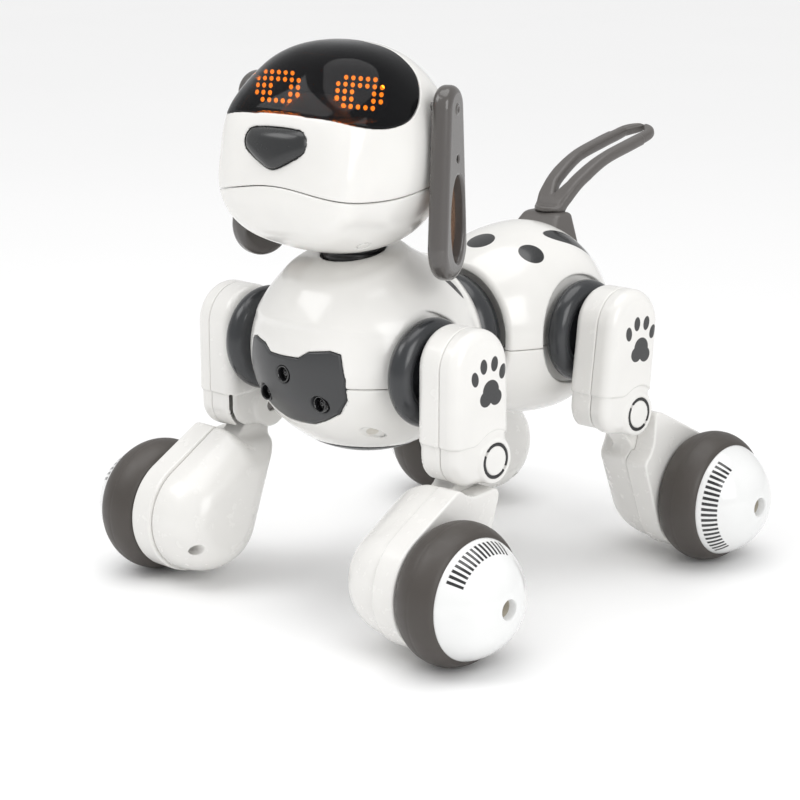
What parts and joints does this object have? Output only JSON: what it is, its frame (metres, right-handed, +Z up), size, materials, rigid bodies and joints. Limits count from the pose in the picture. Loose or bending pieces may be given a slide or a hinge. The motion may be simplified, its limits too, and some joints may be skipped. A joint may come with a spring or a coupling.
{
  "type": "quadruped robot dog",
  "caption": "Toy robot dog with a turning head, swinging ears, a looped tail and jointed legs that stand on domed rubber-tyred wheels.",
  "frame": {"origin": "on the ground, under the middle of the overall length and width", "axes": "+Z up, the dog faces -Y, its left side is +X"},
  "size_m": [0.2456, 0.2836, 0.2529],
  "materials": {
    "white_shell": "smooth warm-white moulded ABS, glossy",
    "dark_disc": "glossy charcoal ABS",
    "tyre": "satin warm dark grey rubber",
    "cap_white": "glossy cool white ABS",
    "steel": "zinc plated steel",
    "visor_black": "glossy smoked black acrylic",
    "led_board": "black display board with amber dots",
    "nose_black": "glossy dark grey ABS",
    "ear_grey": "glossy warm grey soft plastic",
    "tail_grey": "satin warm grey soft plastic",
    "panel_dark": "satin dark grey ABS",
    "lens_black": "black sensor lens",
    "neck_black": "satin black ABS",
    "board_green": "printed circuit board",
    "battery_wrap": "shrink-wrapped cells",
    "motor_case": "ivory gearbox case",
    "speaker_black": "paper cone in a steel basket"
  },
  "bodies": {
    "chest": {"chest_upper": "white_shell", "chest_lower": "white_shell", "chest_panel": "panel_dark", "sensor_lenses": "lens_black", "battery_cover": "panel_dark", "battery_pack": "battery_wrap", "main_board": "board_green", "speaker": "speaker_black", "waist_collar": "dark_disc", "shoulder_motors": "motor_case"},
    "rump": {"rump_upper": "white_shell", "rump_lower": "white_shell", "hip_motors": "motor_case", "tail_base": "tail_grey"},
    "switch": {"power_switch": "neck_black"},
    "tail": {"tail": "tail_grey"},
    "head": {"head_shell": "white_shell", "jaw_shell": "white_shell", "visor": "visor_black", "eye_display": "led_board", "nose": "nose_black", "neck_post": "neck_black"},
    "ear_left": {"ear_left": "ear_grey"},
    "ear_right": {"ear_right": "ear_grey"},
    "front_left_thigh": {"front_left_shoulder_disc": "dark_disc", "front_left_thigh_outer": "white_shell", "front_left_thigh_inner": "white_shell", "front_left_knee_pin": "steel"},
    "front_left_shank": {"front_left_shank_outer": "white_shell", "front_left_shank_inner": "white_shell"},
    "front_left_wheel": {"front_left_tyre": "tyre", "front_left_hubcap": "cap_white", "front_left_wheel_axle": "steel"},
    "front_right_thigh": {"front_right_shoulder_disc": "dark_disc", "front_right_thigh_outer": "white_shell", "front_right_thigh_inner": "white_shell", "front_right_knee_pin": "steel"},
    "front_right_shank": {"front_right_shank_outer": "white_shell", "front_right_shank_inner": "white_shell"},
    "front_right_wheel": {"front_right_tyre": "tyre", "front_right_hubcap": "cap_white", "front_right_wheel_axle": "steel"},
    "rear_left_thigh": {"rear_left_shoulder_disc": "dark_disc", "rear_left_thigh_outer": "white_shell", "rear_left_thigh_inner": "white_shell", "rear_left_knee_pin": "steel"},
    "rear_left_shank": {"rear_left_shank_outer": "white_shell", "rear_left_shank_inner": "white_shell"},
    "rear_left_wheel": {"rear_left_tyre": "tyre", "rear_left_hubcap": "cap_white", "rear_left_wheel_axle": "steel"},
    "rear_right_thigh": {"rear_right_shoulder_disc": "dark_disc", "rear_right_thigh_outer": "white_shell", "rear_right_thigh_inner": "white_shell", "rear_right_knee_pin": "steel"},
    "rear_right_shank": {"rear_right_shank_outer": "white_shell", "rear_right_shank_inner": "white_shell"},
    "rear_right_wheel": {"rear_right_tyre": "tyre", "rear_right_hubcap": "cap_white", "rear_right_wheel_axle": "steel"}
  },
  "joints": [
    {"name": "neck_turn", "type": "hinge", "parent": "chest", "child": "head", "pos_m": [0, -0.07625, 0.15], "axis": [0, 0, 1], "range_deg": [-42.5, 27.5]},
    {"name": "waist_twist", "type": "hinge", "parent": "chest", "child": "rump", "pos_m": [0, 0, 0.112], "axis": [0, 1, 0], "range_deg": [-12, 12]},
    {"name": "tail_wag", "type": "hinge", "parent": "rump", "child": "tail", "pos_m": [0, 0.05875, 0.162], "axis": [0, 0, 1], "range_deg": [-20, 20]},
    {"name": "ear_left_swing", "type": "hinge", "parent": "head", "child": "ear_left", "pos_m": [0.05004, -0.06865, 0.225], "axis": [0.9239, 0.3827, 0], "range_deg": [-20, 20]},
    {"name": "ear_right_swing", "type": "hinge", "parent": "head", "child": "ear_right", "pos_m": [-0.0503, -0.08186, 0.225], "axis": [0.9914, -0.1305, 0], "range_deg": [-20, 20]},
    {"name": "power_slide", "type": "slide", "parent": "rump", "child": "switch", "axis": [0, 1, 0], "range_m": [0, 0.003]},
    {"name": "front_left_shoulder", "type": "hinge", "parent": "chest", "child": "front_left_thigh", "pos_m": [0.05, -0.08075, 0.113], "axis": [1, 0, 0], "range_deg": [-40, 12]},
    {"name": "front_left_knee", "type": "hinge", "parent": "front_left_thigh", "child": "front_left_shank", "pos_m": [0.06, -0.07245, 0.078], "axis": [1, 0, 0], "range_deg": [-5, 40]},
    {"name": "front_left_wheel_spin", "type": "hinge", "parent": "front_left_shank", "child": "front_left_wheel", "pos_m": [0.086, -0.11078, 0.031], "axis": [1, 0, 0], "continuous": true},
    {"name": "front_right_shoulder", "type": "hinge", "parent": "chest", "child": "front_right_thigh", "pos_m": [-0.05, -0.08075, 0.113], "axis": [1, 0, 0], "range_deg": [-40, 12]},
    {"name": "front_right_knee", "type": "hinge", "parent": "front_right_thigh", "child": "front_right_shank", "pos_m": [-0.06, -0.07245, 0.078], "axis": [1, 0, 0], "range_deg": [-5, 40]},
    {"name": "front_right_wheel_spin", "type": "hinge", "parent": "front_right_shank", "child": "front_right_wheel", "pos_m": [-0.086, -0.11078, 0.031], "axis": [1, 0, 0], "continuous": true},
    {"name": "rear_left_hip", "type": "hinge", "parent": "rump", "child": "rear_left_thigh", "pos_m": [0.05, 0.03285, 0.112], "axis": [1, 0, 0], "range_deg": [-12, 40]},
    {"name": "rear_left_knee", "type": "hinge", "parent": "rear_left_thigh", "child": "rear_left_shank", "pos_m": [0.06, 0.03682, 0.07625], "axis": [1, 0, 0], "range_deg": [-42, 20]},
    {"name": "rear_left_wheel_spin", "type": "hinge", "parent": "rear_left_shank", "child": "rear_left_wheel", "pos_m": [0.086, 0.07721, 0.031], "axis": [1, 0, 0], "continuous": true},
    {"name": "rear_right_hip", "type": "hinge", "parent": "rump", "child": "rear_right_thigh", "pos_m": [-0.05, 0.03285, 0.112], "axis": [1, 0, 0], "range_deg": [-12, 40]},
    {"name": "rear_right_knee", "type": "hinge", "parent": "rear_right_thigh", "child": "rear_right_shank", "pos_m": [-0.06, 0.03682, 0.07625], "axis": [1, 0, 0], "range_deg": [-42, 20]},
    {"name": "rear_right_wheel_spin", "type": "hinge", "parent": "rear_right_shank", "child": "rear_right_wheel", "pos_m": [-0.086, 0.07721, 0.031], "axis": [1, 0, 0], "continuous": true}
  ]
}
